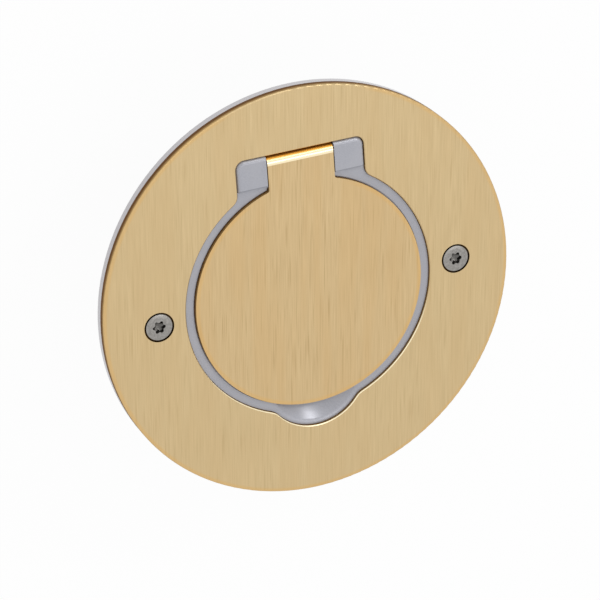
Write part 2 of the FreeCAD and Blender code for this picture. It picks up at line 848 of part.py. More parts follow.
def make_hinge_pin():
    """Plain pin through both lugs and the lid's eye."""
    body = new_body("hinge_pin")
    section = new_sketch(body, "YZ")
    draw_circle(section, "hinge_y", "hinge_z", "pin_radius")
    pad(body, section, "2 * (pocket_half_width - 2 * moulding_gap)", middle=True)
    dress(body, "Chamfer", "pin_radius / 5", lambda edge, middle, along: abs(along.x) < 0.01)
    return body


# ---------------------------------------------------------------- socket


def make_socket_face():
    """Round face with the plug well: guide ribs, slots for the earth clips, pin holes and gussets."""
    body = new_body("socket_face")
    under = "face_level - face_thickness"
    section = [
        ("0", "base_top"),
        ("tube_radius", "base_top"),
        ("tube_radius", under),
        ("face_radius", under),
        ("face_radius", "face_level"),
        ("well_radius", "face_level"),
        ("well_radius", "well_bottom"),
        ("0", "well_bottom"),
    ]
    turned(body, section)
    dress(body, "Fillet", "face_round", level_at(value("face_level")))
    gusset = new_sketch(body, "XZ")
    gusset.AttachmentOffset = Placement(Vector(0, 0, 0), Rotation(Vector(0, 1, 0), 22.5))
    low = f"{under} - gusset_drop"
    root = "tube_radius - well_wall / 2"
    draw_outline(gusset, [(root, low), ("face_radius - face_thickness", under), (root, under)])
    web = pad(body, gusset, "rib_thickness", middle=True)
    around(body, [web], 8)
    guide = new_sketch(body, "XY", "well_bottom")
    inner, outer = "well_radius - guide_depth", "well_radius + well_wall / 2"
    draw_rectangle(guide, inner, "-guide_width / 2", outer, "guide_width / 2")
    key = pad(body, guide, "well_depth - guide_drop")
    mirror(body, [key], "YZ")
    slot = new_sketch(body, "XZ")
    half = "strap_width / 2 + clip_gap"
    draw_rectangle(slot, f"-({half})", "well_bottom + clip_slot_step", half, "clip_top + clip_gap")
    cut(body, slot, "2 * tube_radius + 2", middle=True)
    holes = new_sketch(body, "XY", "well_bottom")
    draw_circle(holes, "pin_spacing / 2", "0", "pin_hole_radius")
    draw_circle(holes, "-pin_spacing / 2", "0", "pin_hole_radius")
    cut(body, holes, "well_floor")
    centre = [
        ("0", "base_top - 1"),
        ("face_screw_radius + fit_gap", "base_top - 1"),
        ("face_screw_radius + fit_gap", "well_bottom - face_screw_sink"),
        ("face_screw_head + fit_gap", "well_bottom - face_screw_sink"),
        ("face_screw_head + fit_gap", "well_bottom + 1"),
        ("0", "well_bottom + 1"),
    ]
    turned(body, centre, take=True)
    return body


def make_face_screw():
    """Centre screw: its head lies in the well floor and it threads into the base's post."""
    body = new_body("face_screw")
    seat = "well_bottom - face_screw_sink"
    section = [
        ("0", f"{seat} - face_screw_length"),
        ("face_screw_radius", f"{seat} - face_screw_length"),
        ("face_screw_radius", seat),
        ("face_screw_head", seat),
        ("face_screw_head", "well_bottom"),
        ("0", "well_bottom"),
    ]
    turned(body, section)
    return body


def draw_base_outline(sketch, gap="0"):
    """The base's plan: a circle with a flat on each side that faces an earth clip."""
    flat = f"(base_flat - {gap})"
    radius = f"(base_radius - {gap})"
    corner = f"sqrt({radius} ^ 2 - {flat} ^ 2)"
    right = [(corner, f"-{flat}", radius, 1), (corner, flat)]
    left = [(f"-({corner})", flat, radius, 1), (f"-({corner})", f"-{flat}")]
    draw_outline(sketch, right + left)


def terminals():
    """The three terminal places: line, neutral and earth, each with the side that its wire comes from."""
    pole = "pin_spacing / 2"
    return [
        (pole, "terminal_y", False),
        (f"-{pole}", "terminal_y", False),
        ("earth_terminal_x", "earth_terminal_y", True),
    ]


def draw_around(sketch, x, y, half_x, half_y):
    draw_rectangle(sketch, f"{x} - ({half_x})", f"{y} - ({half_y})", f"{x} + {half_x}", f"{y} + {half_y}")


def make_socket_base():
    """Base with the shutter's chamber on top and the chambers of contacts, terminals and strap below."""
    body = new_body("socket_base")
    plan = new_sketch(body, "XY", "base_bottom")
    draw_base_outline(plan)
    pad(body, plan, "base_height")
    chamber = new_sketch(body, "XY", "base_top")
    low = "shutter_low_y - shutter_travel - shutter_gap"
    draw_rectangle(chamber, "-chamber_half_x", low, "chamber_half_x", "shutter_high_y + shutter_gap")
    cut(body, chamber, "chamber_depth")
    trough = new_sketch(body, "XY", "base_top")
    half = "spring_radius + spring_gap"
    draw_rectangle(trough, f"-({half})", "spring_end", half, f"{low} + spring_gap")
    cut(body, trough, "chamber_depth")
    post = new_sketch(body, "XY", "chamber_floor")
    draw_circle(post, "0", "0", "post_radius")
    pad(body, post, "chamber_depth")
    thread = new_sketch(body, "XY", "base_top")
    draw_circle(thread, "0", "0", "face_screw_radius + thread_fit")
    cut(body, thread, "face_screw_length")

    pole = "pin_spacing / 2"
    for side in ("", "-"):
        passage = new_sketch(body, "XY", "chamber_floor")
        draw_circle(passage, side + pole, "0", "pin_hole_radius + fit_gap")
        cut(body, passage, "fork_drop")
        fork = new_sketch(body, "XY", "base_bottom")
        half = "fork_half + contact_sheet + contact_gap"
        draw_around(fork, side + pole, "0", half, "strap_width / 2 + contact_gap")
        cut(body, fork, "fork_top + fork_headroom - base_bottom", back=True)
        channel = new_sketch(body, "XY", "base_bottom")
        half = "contact_width / 2 + contact_gap"
        draw_rectangle(channel, f"{side}{pole} - ({half})", "terminal_y", f"{side}{pole} + {half}", "0")
        cut(body, channel, "strip_top - base_bottom + 2 * contact_gap", back=True)
    for x, y, far in terminals():
        cage = new_sketch(body, "XY", "base_bottom")
        draw_around(cage, x, y, "clamp_half_x + clamp_gap", "clamp_half_y + clamp_gap")
        cut(body, cage, "clamp_height + 2 * clamp_gap", back=True)
        shaft = new_sketch(body, "XY", "base_top")
        draw_circle(shaft, x, y, "terminal_head + clamp_gap")
        cut(body, shaft, "terminal_sink + clamp_gap")
        stem = new_sketch(body, "XY", "base_top")
        draw_circle(stem, x, y, "terminal_screw_radius + screw_hole_gap")
        cut(body, stem, "base_height - clamp_height")
        wire = new_sketch(body, "XZ", "-(base_flat + 1)" if far else "base_flat + 1")
        draw_circle(wire, x, "wire_level", "wire_radius")
        cut(body, wire, "base_flat + 1 - abs(terminal_y) - clamp_half_y", back=far)
    groove = new_sketch(body, "XY", "base_bottom")
    half = "strap_width / 2 + contact_gap"
    draw_rectangle(groove, f"-({half})", "-base_flat - 1", half, "base_flat + 1")
    cut(body, groove, "strip_top - base_bottom + 2 * contact_gap", back=True)
    branch = new_sketch(body, "XY", "base_bottom")
    draw_rectangle(branch, "0", "tab_y - contact_gap", f"earth_terminal_x + {half}", "earth_terminal_y")
    cut(body, branch, "strip_top - base_bottom + 2 * contact_gap", back=True)
    rivet = new_sketch(body, "XZ", "base_flat + 1")
    draw_circle(rivet, "0", "rivet_level", "rivet_radius + fit_gap")
    socket = cut(body, rivet, "base_flat + 1 - rivet_inner")
    mirror(body, [socket], "XZ")
    screws = new_sketch(body, "XY", "base_bottom")
    draw_circle(screws, "cover_screw_x", "0", "cover_screw_radius + thread_fit")
    draw_circle(screws, "-cover_screw_x", "0", "cover_screw_radius + thread_fit")
    cut(body, screws, "cover_screw_length", back=True)
    return body


def make_rear_cover():
    """Plate under the base, with ribs that hold the contacts and the strap up in their channels."""
    body = new_body("rear_cover")
    plate = new_sketch(body, "XY", "base_bottom")
    draw_base_outline(plate, "fit_gap")
    pad(body, plate, "cover_thickness", back=True)
    height = "strip_bottom - base_bottom - fit_gap"
    for x in ("pin_spacing / 2", "-pin_spacing / 2"):
        rib = new_sketch(body, "XY", "base_bottom")
        draw_around(rib, x, "terminal_y / 4", "rib_thickness", "strap_width")
        pad(body, rib, height)
    keel = new_sketch(body, "XY", "base_bottom")
    draw_rectangle(keel, "-rib_thickness", "-base_flat / 2", "rib_thickness", "base_flat / 2")
    pad(body, keel, height)
    cone = [
        ("0", "base_bottom - cover_thickness"),
        ("cover_screw_head + fit_gap", "base_bottom - cover_thickness"),
        ("cover_screw_radius + fit_gap", "base_bottom"),
        ("cover_screw_radius + fit_gap", "base_bottom + 1"),
        ("0", "base_bottom + 1"),
    ]
    hole = turned(body, cone, x="cover_screw_x", take=True)
    mirror(body, [hole], "YZ")
    return body


def make_cover_screws():
    """Two countersunk screws of the rear cover."""
    body = new_body("cover_screws")
    section = [
        ("0", "base_bottom - cover_thickness"),
        ("cover_screw_head", "base_bottom - cover_thickness"),
        ("cover_screw_radius", "base_bottom - fit_gap"),
        ("cover_screw_radius", "base_bottom + cover_screw_length - 1"),
        ("0", "base_bottom + cover_screw_length - 1"),
    ]
    screw = turned(body, section, x="cover_screw_x")
    mirror(body, [screw], "YZ")
    return body


def make_shutter():
    """Slide in front of the pin passages: a ramp for each pin, and the hole that it opens."""
    body = new_body("shutter")
    bottom = "chamber_floor + shutter_gap / 2"
    plate = new_sketch(body, "XY", bottom)
    draw_rectangle(plate, "-shutter_half_x", "shutter_low_y", "shutter_half_x", "shutter_high_y")
    pad(body, plate, "shutter_thickness")
    slot = new_sketch(body, "XY", bottom)
    half = "post_radius + shutter_gap"
    draw_rectangle(slot, f"-({half})", f"-({half})", half, f"{half} + shutter_travel")
    cut(body, slot, "shutter_thickness", back=True)
    holes = new_sketch(body, "XY", bottom)
    draw_circle(holes, "pin_spacing / 2", "shutter_travel", "pin_hole_radius + shutter_gap / 2")
    draw_circle(holes, "-pin_spacing / 2", "shutter_travel", "pin_hole_radius + shutter_gap / 2")
    cut(body, holes, "shutter_thickness", back=True)
    top = f"{bottom} + shutter_thickness"
    ramp = new_sketch(body, "YZ", "pin_spacing / 2")
    end = "shutter_travel - pin_hole_radius"
    draw_outline(ramp, [("-pin_hole_radius", top), (end, f"{top} - ramp_drop"), (end, top)])
    slope = cut(body, ramp, "2 * pin_hole_radius", middle=True)
    mirror(body, [slope], "YZ")
    return body


def make_shutter_spring():
    """Coil spring between the shutter and the end of its trough, along Y."""
    wire = value("spring_wire")
    mean = value("spring_radius") - wire
    start = value("shutter_low_y - fit_gap") - wire
    length = start - wire - value("spring_end + fit_gap")
    helix = Part.makeHelix(length / value("spring_coils"), length, mean)
    section = Part.Wire(Part.makeCircle(wire, Vector(mean, 0, 0), Vector(0, 1, 0)))
    coil = Part.Wire(helix).makePipeShell([section], True, True)
    centre = Vector(0, start, value("chamber_floor + spring_radius + shutter_gap / 2"))
    return finished_part("shutter_spring", coil, Placement(centre, Rotation(Vector(1, 0, 0), 90)))


def make_contact(label, side):
    """Fork that grips a pin, on a strip that runs to the cage clamp."""
    sheet_metal = value("contact_sheet")
    half = value("fork_half")
    grip = value("plug_pin_radius + contact_sheet / 2 + thread_fit")
    top = value("fork_top")
    level = value("strip_top - contact_sheet / 2")
    neck, shoulder = value("fork_neck"), value("fork_shoulder")
    arm = [(half, level), (half, top - shoulder), (grip, top - neck), (half, top)]
    route = [(-across, up) for across, up in reversed(arm)] + arm
    fork = bent_strip(route, sheet_metal, value("strap_width"), sheet_metal)
    width = value("contact_width")
    far = value("clamp_half_y - terminal_y")
    strip = Part.makeBox(far, width, sheet_metal, Vector(-far, -width / 2, level - sheet_metal / 2))
    place = Placement(Vector(side * value("pin_spacing / 2"), 0, 0), Rotation(Vector(0, 0, 1), 90))
    return finished_part(label, fork.fuse(strip).removeSplitter(), place)


def make_earth_strap():
    """One strip bent into a U under the base: its ends reach up and fold into the well as earth clips."""
    sheet_metal = value("contact_sheet")
    level = value("strip_top - contact_sheet / 2")
    arm_y = value("base_flat + 2 * fit_gap + contact_sheet / 2")
    top = value("clip_top") - sheet_metal / 2
    nose = value("well_radius - clip_reach")
    fold = arm_y - value("clip_fold")
    tip = value("well_radius - clip_tip_inset")
    nose_level = top - value("clip_nose_drop")
    tip_level = top - value("clip_length")
    arm = [(arm_y, level), (arm_y, top), (fold, top), (nose, nose_level), (tip, tip_level)]
    route = [(-across, up) for across, up in reversed(arm)] + arm
    strap = bent_strip(route, sheet_metal, value("strap_width"), sheet_metal)
    width = value("contact_width")
    x, y, tab = value("earth_terminal_x"), value("earth_terminal_y"), value("tab_y")
    low = level - sheet_metal / 2
    across = Part.makeBox(x + width / 2, value("tab_width"), sheet_metal, Vector(0, tab, low))
    along = Part.makeBox(width, y + value("clamp_half_y") - tab, sheet_metal, Vector(x - width / 2, tab, low))
    reach = arm_y + sheet_metal
    drill = Vector(0, -reach, value("rivet_level"))
    rivet = Part.makeCylinder(value("rivet_radius + fit_gap"), 2 * reach, drill, Vector(0, 1, 0))
    return finished_part("earth_strap", strap.fuse([across, along]).cut(rivet).removeSplitter())


def make_terminal_clamps():
    """Three cage clamps round the ends of the strips, each with a threaded top."""
    body = new_body("terminal_clamps")
    bottom = "base_bottom + 2 * fit_gap"
    top = f"{bottom} + clamp_height"
    for x, y, far in terminals():
        frame = new_sketch(body, "XZ", f"-({y})")
        draw_rectangle(frame, f"{x} - clamp_half_x", bottom, f"{x} + clamp_half_x", top)
        half = "contact_width / 2 + fit_gap"
        sill, roof = "strip_bottom - fit_gap", f"{top} - clamp_roof"
        draw_rectangle(frame, f"{x} - ({half})", sill, f"{x} + {half}", roof)
        pad(body, frame, "2 * clamp_half_y", middle=True)
        hole = new_sketch(body, "XY", top)
        draw_circle(hole, x, y, "terminal_screw_radius + thread_fit")
        cut(body, hole, "clamp_roof")
    return body


def make_terminal_screws():
    """Three terminal screws, reached from above once the socket's face is off."""
    body = new_body("terminal_screws")
    section = [
        ("0", "terminal_tip"),
        ("terminal_screw_radius", "terminal_tip"),
        ("terminal_screw_radius", "terminal_seat"),
        ("terminal_head", "terminal_seat"),
        ("terminal_head", "terminal_seat + terminal_head_height"),
        ("0", "terminal_seat + terminal_head_height"),
    ]
    for x, y, far in terminals():
        turned(body, section, x=x, y=y)
    return body


def make_support_ring():
    """Steel ring that lies on the bowl's floor, with two legs bent down to carry the base."""
    body = new_body("support_ring")
    plate = new_sketch(body, "XY", "bowl_floor")
    half, bevel = "ring_half_width", "(ring_half_width - ring_corner)"
    signs = [("", "-"), ("", ""), ("-", ""), ("-", "-")]
    outline = []
    for number, (across, up) in enumerate(signs):
        flank = (f"{across}{half}", f"{up}{bevel}")
        crown = (f"{across}{bevel}", f"{up}{half}")
        outline += [crown, flank] if number % 2 == 0 else [flank, crown]
    draw_outline(plate, outline)
    pad(body, plate, "ring_sheet")
    hole = new_sketch(body, "XY", "bowl_floor")
    draw_circle(hole, "0", "0", "leg_inner + ring_sheet / 2")
    cut(body, hole, "ring_sheet", back=True)
    leg = new_sketch(body, "XY", "ring_top")
    draw_rectangle(leg, "-leg_half_width", "leg_inner", "leg_half_width", "leg_inner + ring_sheet")
    strip = pad(body, leg, "leg_length", back=True)
    mirror(body, [strip], "XZ")
    ends = new_sketch(body, "XY", "bowl_floor")
    slot = new_sketch(body, "XY", "bowl_floor")
    half = "device_screw_radius + screw_hole_gap"
    for side in ("", "-"):
        centre = f"{side}device_spacing / 2"
        draw_circle(ends, centre, "slot_reach", half)
        draw_circle(ends, centre, "-slot_reach", half)
        draw_around(slot, centre, "0", half, "slot_reach")
    cut(body, ends, "ring_sheet", back=True)
    cut(body, slot, "ring_sheet", back=True)
    rivet = new_sketch(body, "XZ")
    draw_circle(rivet, "0", "rivet_level", "rivet_radius + fit_gap")
    cut(body, rivet, "2 * ring_half_width", middle=True)
    return body


def make_base_rivets():
    """Two rivets, each through a leg of the ring and the earth strap into the base."""
    body = new_body("base_rivets")
    face = "leg_inner + ring_sheet"
    section = [
        ("rivet_inner", "0"),
        ("rivet_inner", "rivet_radius"),
        (face, "rivet_radius"),
        (face, "rivet_head"),
        (f"{face} + rivet_radius / 2", "rivet_head"),
        (f"{face} + rivet_radius", "rivet_radius"),
        (f"{face} + rivet_radius", "0"),
    ]
    rivet = turned_on_y(body, section, z="rivet_level")
    mirror(body, [rivet], "XZ")
    return body


def make_device_screws():
    """Two pan-head screws that hold the ring down on the box."""
    body = new_body("device_screws")
    section = [
        ("0", "ring_top - device_screw_length"),
        ("device_screw_radius", "ring_top - device_screw_length"),
        ("device_screw_radius", "ring_top"),
        ("device_screw_head", "ring_top"),
        ("device_screw_head", "ring_top + device_screw_radius / 2"),
        ("device_screw_radius", "ring_top + device_screw_radius"),
        ("0", "ring_top + device_screw_radius"),
    ]
    screw = turned(body, section, x="device_spacing / 2")
    mirror(body, [screw], "YZ")
    return body


# ---------------------------------------------------------------- box in the floor


def make_floor_box():
    """Stepped box: wide bowl, round cup, screw bosses, two cable entries and four gussets."""
    body = new_body("floor_box")
    section = [
        ("0", "-cup_depth"),
        ("cup_radius - cup_draft", "-cup_depth"),
        ("cup_radius", "-bowl_depth"),
        ("bowl_radius", "-bowl_depth"),
        ("bowl_radius", "0"),
        ("bowl_radius - box_wall", "0"),
        ("bowl_radius - box_wall", "bowl_floor"),
        ("cup_radius - box_wall", "bowl_floor"),
        ("cup_radius - box_wall - cup_draft", "box_floor - cup_depth"),
        ("0", "box_floor - cup_depth"),
    ]
    turned(body, section)
    dress(body, "Fillet", "box_wall", level_at(value("-cup_depth")))
    boss = new_sketch(body, "XY")
    draw_circle(boss, "screw_offset", "0", "boss_radius")
    column = pad(body, boss, "bowl_depth", back=True)
    mirror(body, [column], "YZ")
    dome = new_sketch(body, "XY", "bowl_floor")
    draw_circle(dome, "device_spacing / 2", "0", "dome_radius")
    pillar = pad(body, dome, "dome_length", back=True)
    mirror(body, [pillar], "YZ")
    spigot = new_sketch(body, "XZ", "entry_end")
    draw_circle(spigot, "0", "-entry_depth", "entry_radius + entry_wall")
    pipe = pad(body, spigot, "entry_end - entry_start", back=True)
    mirror(body, [pipe], "XZ")
    gusset = new_sketch(body, "XZ")
    gusset.AttachmentOffset = Placement(Vector(0, 0, 0), Rotation(Vector(0, 1, 0), 45))
    root = "cup_radius - box_wall / 2"
    reach = "bowl_radius - box_wall"
    level = "box_wall / 4 - bowl_depth"
    draw_outline(gusset, [(root, "-bowl_depth - box_gusset_drop"), (reach, level), (root, level)])
    web = pad(body, gusset, "gusset_thickness", middle=True)
    around(body, [web], 4)
    for x in ("screw_offset", "-screw_offset"):
        hole = new_sketch(body, "XY")
        draw_circle(hole, x, "0", "insert_radius")
        cut(body, hole, "insert_hole_depth")
    for x in ("device_spacing / 2", "-device_spacing / 2"):
        hole = new_sketch(body, "XY", "bowl_floor")
        draw_circle(hole, x, "0", "device_screw_radius + thread_fit")
        cut(body, hole, "device_screw_length")
    entry = new_sketch(body, "XZ", "entry_end")
    draw_circle(entry, "0", "-entry_depth", "entry_radius")
    mouth = cut(body, entry, "entry_end - entry_start + 2 * box_wall")
    mirror(body, [mouth], "XZ")
    floor = new_sketch(body, "XY", "box_floor - cup_depth")
    draw_circle(floor, "0", "fixing_spacing / 2", "fixing_radius")
    draw_circle(floor, "0", "-fixing_spacing / 2", "fixing_radius")
    cut(body, floor, "box_floor")
    return body


def make_threaded_inserts():
    """Two threaded sleeves set in the bosses of the bowl."""
    body = new_body("threaded_inserts")
    section = [
        ("plate_screw_radius + thread_fit", "-insert_sink - insert_length"),
        ("insert_radius", "-insert_sink - insert_length"),
        ("insert_radius", "-insert_sink"),
        ("plate_screw_radius + thread_fit", "-insert_sink"),
    ]
    insert = turned(body, section, x="screw_offset")
    mirror(body, [insert], "YZ")
    return body


def make_entry_grommet():
    """Stepped rubber grommet in the cable entry, with the cable's hole through its end wall."""
    body = new_body("entry_grommet")
    wall = "entry_radius - fit_gap"
    section = [
        ("-entry_end - grommet_flange", "cable_radius"),
        ("-entry_end - grommet_flange", "entry_radius + entry_wall - entry_lip"),
        ("-entry_end", "entry_radius + entry_wall - entry_lip"),
        ("-entry_end", wall),
        ("-entry_start", wall),
        ("-entry_start", f"{wall} - grommet_flange"),
        ("-entry_end + 2 * grommet_flange", "cable_radius + grommet_flange"),
        ("-entry_end + 2 * grommet_flange", "cable_radius"),
    ]
    turned_on_y(body, section, z="-entry_depth")
    return body


def make_blanking_plug():
    """Cap in the spare cable entry."""
    body = new_body("blanking_plug")
    wall = "entry_radius - fit_gap"
    section = [
        ("entry_end + rib_thickness", "0"),
        ("entry_end + rib_thickness", "entry_radius + entry_wall - entry_lip"),
        ("entry_end", "entry_radius + entry_wall - entry_lip"),
        ("entry_end", wall),
        ("entry_start", wall),
        ("entry_start", f"{wall} - rib_thickness"),
        ("entry_end", f"{wall} - rib_thickness"),
        ("entry_end", "0"),
    ]
    turned_on_y(body, section, z="-entry_depth")
    return body


# ---------------------------------------------------------------- build, check and write

pieces = [
    make_cover_plate(),
    make_base_frame(),
    make_floor_gasket(),
    make_plate_screws(),
    make_lid_plate(),
    make_lid_liner(),
    make_lid_seal(),
    make_lid_screws(),
    make_hinge_pin(),
    make_socket_face(),
    make_face_screw(),
    make_socket_base(),
    make_rear_cover(),
    make_cover_screws(),
    make_shutter(),
    make_shutter_spring(),
    make_contact("line_contact", -1),
    make_contact("neutral_contact", 1),
    make_earth_strap(),
    make_terminal_clamps(),
    make_terminal_screws(),
    make_support_ring(),
    make_base_rivets(),
    make_device_screws(),
    make_floor_box(),
    make_threaded_inserts(),
    make_entry_grommet(),
    make_blanking_plug(),
]
doc.recompute()

faults = [item.Name for item in doc.Objects if "Invalid" in item.State or "Error" in item.State]
if faults:
    raise RuntimeError(f"these objects failed: {faults}")
for piece in pieces:
    if piece.Shape.isNull() or not piece.Shape.isValid():
        raise RuntimeError(f"{piece.Label} has no valid shape")

os.makedirs("parts", exist_ok=True)
for piece in pieces:
    piece.Shape.exportStep(f"parts/{piece.Label}.step")
    print(f"{piece.Label}: {len(piece.Shape.Solids)} solid(s), {piece.Shape.Volume:.0f} mm3")
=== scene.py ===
"""Round floor socket box: a brushed brass cover and lid over a shuttered socket in a stepped plastic box."""

import math

import bmesh
import bpy
from mathutils import Matrix, Vector


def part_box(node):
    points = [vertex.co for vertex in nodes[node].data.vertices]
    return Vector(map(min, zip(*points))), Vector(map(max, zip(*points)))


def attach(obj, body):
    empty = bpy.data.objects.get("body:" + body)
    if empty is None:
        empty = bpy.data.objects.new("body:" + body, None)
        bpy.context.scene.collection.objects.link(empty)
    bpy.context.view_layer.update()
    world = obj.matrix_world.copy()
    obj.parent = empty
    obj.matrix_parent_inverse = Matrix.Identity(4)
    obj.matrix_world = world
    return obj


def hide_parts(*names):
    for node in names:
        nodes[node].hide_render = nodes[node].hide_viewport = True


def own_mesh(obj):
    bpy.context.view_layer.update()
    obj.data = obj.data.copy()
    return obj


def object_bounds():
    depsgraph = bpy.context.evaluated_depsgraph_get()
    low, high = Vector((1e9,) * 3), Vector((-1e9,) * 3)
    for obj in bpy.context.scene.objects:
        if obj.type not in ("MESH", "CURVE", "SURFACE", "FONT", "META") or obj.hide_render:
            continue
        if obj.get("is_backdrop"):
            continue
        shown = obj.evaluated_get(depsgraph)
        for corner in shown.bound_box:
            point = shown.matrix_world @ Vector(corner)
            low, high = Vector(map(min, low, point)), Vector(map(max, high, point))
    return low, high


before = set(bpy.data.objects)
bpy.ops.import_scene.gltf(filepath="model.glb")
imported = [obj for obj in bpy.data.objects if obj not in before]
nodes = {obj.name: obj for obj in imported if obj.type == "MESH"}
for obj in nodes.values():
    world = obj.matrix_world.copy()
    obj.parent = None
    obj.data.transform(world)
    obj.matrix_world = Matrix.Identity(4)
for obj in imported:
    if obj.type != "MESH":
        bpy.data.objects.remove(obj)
cad_low, cad_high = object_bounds()
scene = bpy.context.scene
MM = 0.001

# ---------------------------------------------------------------- studio
# A white table under a white surround, as in a catalogue. A strip softbox overhead draws the
# highlight along the rolled eye, one low on the hinge side lights the lugs, and a small one between
# them lights the scoop.

aim = Vector((0.0, 0.0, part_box("cover_plate")[1].z))
view_azimuth = math.radians(218.26)
view_elevation = math.radians(58.15)
view_roll = math.radians(133.05)
view_distance = 0.9083

towards = Vector(
    (
        math.sin(view_azimuth) * math.cos(view_elevation),
        -math.cos(view_azimuth) * math.cos(view_elevation),
        math.sin(view_elevation),
    )
)
level = (-towards).cross(Vector((0, 0, 1))).normalized()
upward = level.cross(-towards)
across = math.cos(view_roll) * level + math.sin(view_roll) * upward
upright = math.cos(view_roll) * upward - math.sin(view_roll) * level

camera = bpy.data.objects.new("camera", bpy.data.cameras.new("camera"))
scene.collection.objects.link(camera)
facing = Matrix((across, upright, towards)).transposed().to_4x4()
camera.matrix_world = Matrix.Translation(aim + towards * view_distance) @ facing
camera.data.sensor_width = 36.0
camera.data.lens = 183.3
camera.data.shift_x = -0.0168
camera.data.shift_y = -0.0126
camera.data.clip_start = 0.01
scene.camera = camera
scene.view_settings.view_transform = "Standard"


def add_node(tree, kind, inputs=None, **settings):
    """Adds a shader node with its settings, and links or sets its inputs."""
    node = tree.nodes.new(kind)
    for name, setting in settings.items():
        setattr(node, name, setting)
    for name, source in (inputs or {}).items():
        if isinstance(source, bpy.types.NodeSocket):
            tree.links.new(source, node.inputs[name])
        else:
            node.inputs[name].default_value = source
    return node


def linear(code):
    """An sRGB hex colour as a linear one."""
    parts = [int(code[start : start + 2], 16) / 255 for start in (0, 2, 4)]
    evened = [part / 12.92 if part <= 0.04045 else ((part + 0.055) / 1.055) ** 2.4 for part in parts]
    return (*evened, 1.0)


def seen_directly(tree):
    """1 for rays that show the surround itself, in a mirror or a window too, and 0 for its light."""
    path = add_node(tree, "ShaderNodeLightPath")
    shown = path.outputs["Is Camera Ray"]
    for ray in ("Is Glossy Ray", "Is Transmission Ray"):
        both = {0: shown, 1: path.outputs[ray]}
        shown = add_node(tree, "ShaderNodeMath", both, operation="MAXIMUM").outputs[0]
    return shown


surround = bpy.data.worlds.new("white surround")
surround.use_nodes = True
tree = surround.node_tree
tree.nodes.clear()
shed = add_node(tree, "ShaderNodeBackground", {"Color": linear("ffffff"), "Strength": 0.7})
shown = add_node(tree, "ShaderNodeBackground", {"Color": linear("ffffff"), "Strength": 1.0})
either = {0: seen_directly(tree), 1: shed.outputs[0], 2: shown.outputs[0]}
blend = add_node(tree, "ShaderNodeMixShader", either)
add_node(tree, "ShaderNodeOutputWorld", {"Surface": blend.outputs[0]})
scene.world = surround

table_top = bpy.data.materials.new("matt white table")
table_top.use_nodes = True
tree = table_top.node_tree
tree.nodes.clear()
matt = add_node(tree, "ShaderNodeBsdfDiffuse", {"Color": linear("f6f6f6")})
glow = add_node(tree, "ShaderNodeEmission", {"Color": linear("ffffff"), "Strength": 1.0})
# The table keeps a twenty-fifth of its own shading, and so the object's shadow.
whitened = {0: seen_directly(tree), 1: 0.96}
share = add_node(tree, "ShaderNodeMath", whitened, operation="MULTIPLY").outputs[0]
blend = add_node(tree, "ShaderNodeMixShader", {0: share, 1: matt.outputs[0], 2: glow.outputs[0]})
add_node(tree, "ShaderNodeOutputMaterial", {"Surface": blend.outputs[0]})

bpy.ops.mesh.primitive_plane_add(size=8.0, location=(0, 0, cad_low.z - 0.1 * MM))
table = bpy.context.object
table.name = "table"
table.data.materials.append(table_top)
table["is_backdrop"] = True


def hang_softbox(name, place, size, power):
    """A rectangular softbox at a place, turned to face the object."""
    lamp = bpy.data.lights.new(name, "AREA")
    lamp.shape = "RECTANGLE"
    lamp.size, lamp.size_y = size
    lamp.energy = power
    holder = bpy.data.objects.new(name, lamp)
    scene.collection.objects.link(holder)
    holder.location = place
    holder.rotation_euler = (aim - Vector(place)).to_track_quat("-Z", "Y").to_euler()


hang_softbox("overhead strip softbox", (0.33, 0.02, 0.94), (0.12, 0.6), 0.55)
hang_softbox("hinge side softbox", (0.33, 0.85, 0.41), (0.5, 0.25), 0.5)
hang_softbox("scoop softbox", (0.47, 0.51, 0.72), (0.3, 0.14), 1.2)

# ---------------------------------------------------------------- cover plate and lid
# Two blanks of 2.4 and 1.5 mm brass sheet, brushed along the line from hinge to scoop and lacquered.
# The brush leaves fine parallel lines and a few wider drags; the sides are painted shade with a painted
# highlight at the top. The eye rolled round the hinge pin is polished, with painted highlight and reflection.


def new_finish(name, values=None):
    """Makes a material, and gives it with its nodes, the place on the piece and the shader."""
    finish = bpy.data.materials.new(name)
    finish.use_nodes = True
    tree = finish.node_tree
    tree.nodes.clear()
    place = add_node(tree, "ShaderNodeTexCoord").outputs["Object"]
    shader = add_node(tree, "ShaderNodeBsdfPrincipled", values)
    add_node(tree, "ShaderNodeOutputMaterial", {"Surface": shader.outputs[0]})
    return finish, tree, place, shader


def grain(tree, place, size, detail=2.0, roughness=0.5):
    """Noise whose grains measure size, in metres along X, Y and Z."""
    stretch = {"Vector": place, "Scale": tuple(1 / length for length in size)}
    stretched = add_node(tree, "ShaderNodeMapping", stretch).outputs[0]
    inputs = {"Vector": stretched, "Scale": 1.0, "Detail": detail, "Roughness": roughness}
    return add_node(tree, "ShaderNodeTexNoise", inputs).outputs["Fac"]


def away_from(tree, place, x=0.0):
    """Distance from an upright axis at some X, in metres."""
    offset = add_node(tree, "ShaderNodeVectorMath", {0: place, 1: (x, 0, 0)}, operation="SUBTRACT").outputs[0]
    flat = add_node(tree, "ShaderNodeVectorMath", {0: offset, 1: (1, 1, 0)}, operation="MULTIPLY").outputs[0]
    return add_node(tree, "ShaderNodeVectorMath", {0: flat}, operation="LENGTH").outputs["Value"]


def zone(tree, *limits, most=1.0):
    """The most where each value is past its inner limit, falling smoothly to 0 at its outer limit."""
    share = most
    for value, outer, inner in limits:
        ends = {"Value": value, "From Min": outer, "From Max": inner}
        step = add_node(tree, "ShaderNodeMapRange", ends, interpolation_type="SMOOTHSTEP").outputs[0]
        share = add_node(tree, "ShaderNodeMath", {0: step, 1: share}, operation="MULTIPLY").outputs[0]
    return share


